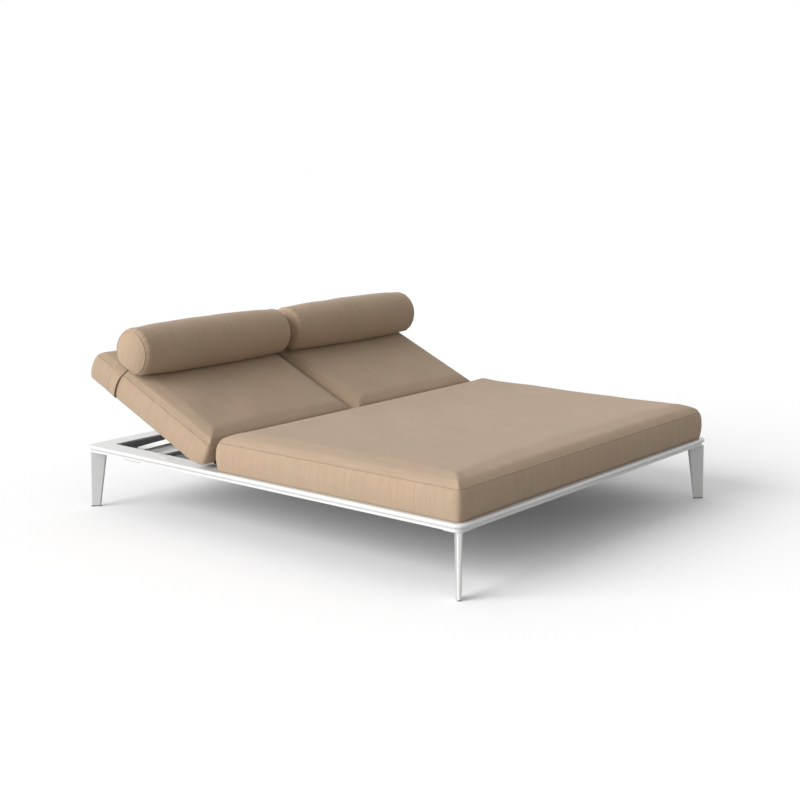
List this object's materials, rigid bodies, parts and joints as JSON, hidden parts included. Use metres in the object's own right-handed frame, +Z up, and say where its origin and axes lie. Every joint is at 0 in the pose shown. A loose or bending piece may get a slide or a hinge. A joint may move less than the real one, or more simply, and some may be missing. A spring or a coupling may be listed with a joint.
{
  "type": "double chaise lounger",
  "caption": "Low aluminium lounger with one wide seat cushion, two lifting backs side by side with propping stays, and a strapped neck roll on each back.",
  "frame": {"origin": "centre of the footprint, on the floor", "axes": "+X to the right as seen from the foot end, +Y towards the head end, +Z up"},
  "size_m": [1.81, 2, 0.798],
  "materials": {
    "white_frame": "satin",
    "grey_rubber": "matte",
    "dark_mesh": "matte",
    "steel_pins": "satin",
    "cushion_fabric": "matte",
    "bolster_fabric": "matte"
  },
  "bodies": {
    "base": {"centre_spine": "white_frame", "foot_rail": "white_frame", "head_rail": "white_frame", "head_tray": "dark_mesh", "hinge_beam": "white_frame", "hinge_ears": "white_frame", "leg_foot_left": "white_frame", "leg_foot_right": "white_frame", "leg_glides": "grey_rubber", "leg_head_left": "white_frame", "leg_head_right": "white_frame", "rest_bumpers": "grey_rubber", "seat_beams": "white_frame", "seat_cushion": "cushion_fabric", "seat_sling": "dark_mesh", "side_rail_left": "white_frame", "side_rail_right": "white_frame", "stay_beam": "white_frame", "stay_racks": "white_frame"},
    "back_left": {"back_cross_tubes_left": "white_frame", "back_mesh_left": "dark_mesh", "back_side_tubes_left": "white_frame", "hinge_pins_left": "steel_pins", "stay_pins_left": "steel_pins"},
    "back_right": {"back_cross_tubes_right": "white_frame", "back_mesh_right": "dark_mesh", "back_side_tubes_right": "white_frame", "hinge_pins_right": "steel_pins", "stay_pins_right": "steel_pins"},
    "stay_left": {"stay_arms_left": "white_frame", "stay_rod_left": "white_frame"},
    "stay_right": {"stay_arms_right": "white_frame", "stay_rod_right": "white_frame"},
    "pad_left": {"back_cushion_left": "cushion_fabric"},
    "pad_right": {"back_cushion_right": "cushion_fabric"},
    "roll_left": {"bolster_left": "bolster_fabric", "bolster_strap_left": "bolster_fabric"},
    "roll_right": {"bolster_right": "bolster_fabric", "bolster_strap_right": "bolster_fabric"}
  },
  "joints": [
    {"name": "back_tilt_left", "type": "hinge", "parent": "base", "child": "back_left", "pos_m": [-0.405, 0.32, 0.2583], "axis": [1, 0, 0], "range_deg": [-24.07, 25.93]},
    {"name": "stay_swing_left", "type": "hinge", "parent": "back_left", "child": "stay_left", "pos_m": [-0.405, 0.52388, 0.34937], "axis": [-1, 0, 0], "range_deg": [-40.94, 44.06]},
    {"name": "pad_creep_left", "type": "slide", "parent": "back_left", "child": "pad_left", "axis": [0, 0.913, 0.4079], "range_m": [-0.0488, 0.0526]},
    {"name": "roll_slide_left", "type": "slide", "parent": "pad_left", "child": "roll_left", "axis": [0, 0.913, 0.4079], "range_m": [-0.2, 0.04]},
    {"name": "back_tilt_right", "type": "hinge", "parent": "base", "child": "back_right", "pos_m": [0.405, 0.32, 0.2583], "axis": [1, 0, 0], "range_deg": [-24.07, 25.93]},
    {"name": "stay_swing_right", "type": "hinge", "parent": "back_right", "child": "stay_right", "pos_m": [0.405, 0.52388, 0.34937], "axis": [-1, 0, 0], "range_deg": [-40.94, 44.06]},
    {"name": "pad_creep_right", "type": "slide", "parent": "back_right", "child": "pad_right", "axis": [0, 0.913, 0.4079], "range_m": [-0.0488, 0.0526]},
    {"name": "roll_slide_right", "type": "slide", "parent": "pad_right", "child": "roll_right", "axis": [0, 0.913, 0.4079], "range_m": [-0.2, 0.04]}
  ],
  "couplings": [
    {"joint": "stay_swing_left", "follows": "back_tilt_left", "ratio": 1.68},
    {"joint": "pad_creep_left", "follows": "back_tilt_left", "m_per_rad": 0.11517},
    {"joint": "stay_swing_right", "follows": "back_tilt_right", "ratio": 1.68},
    {"joint": "pad_creep_right", "follows": "back_tilt_right", "m_per_rad": 0.11517}
  ]
}
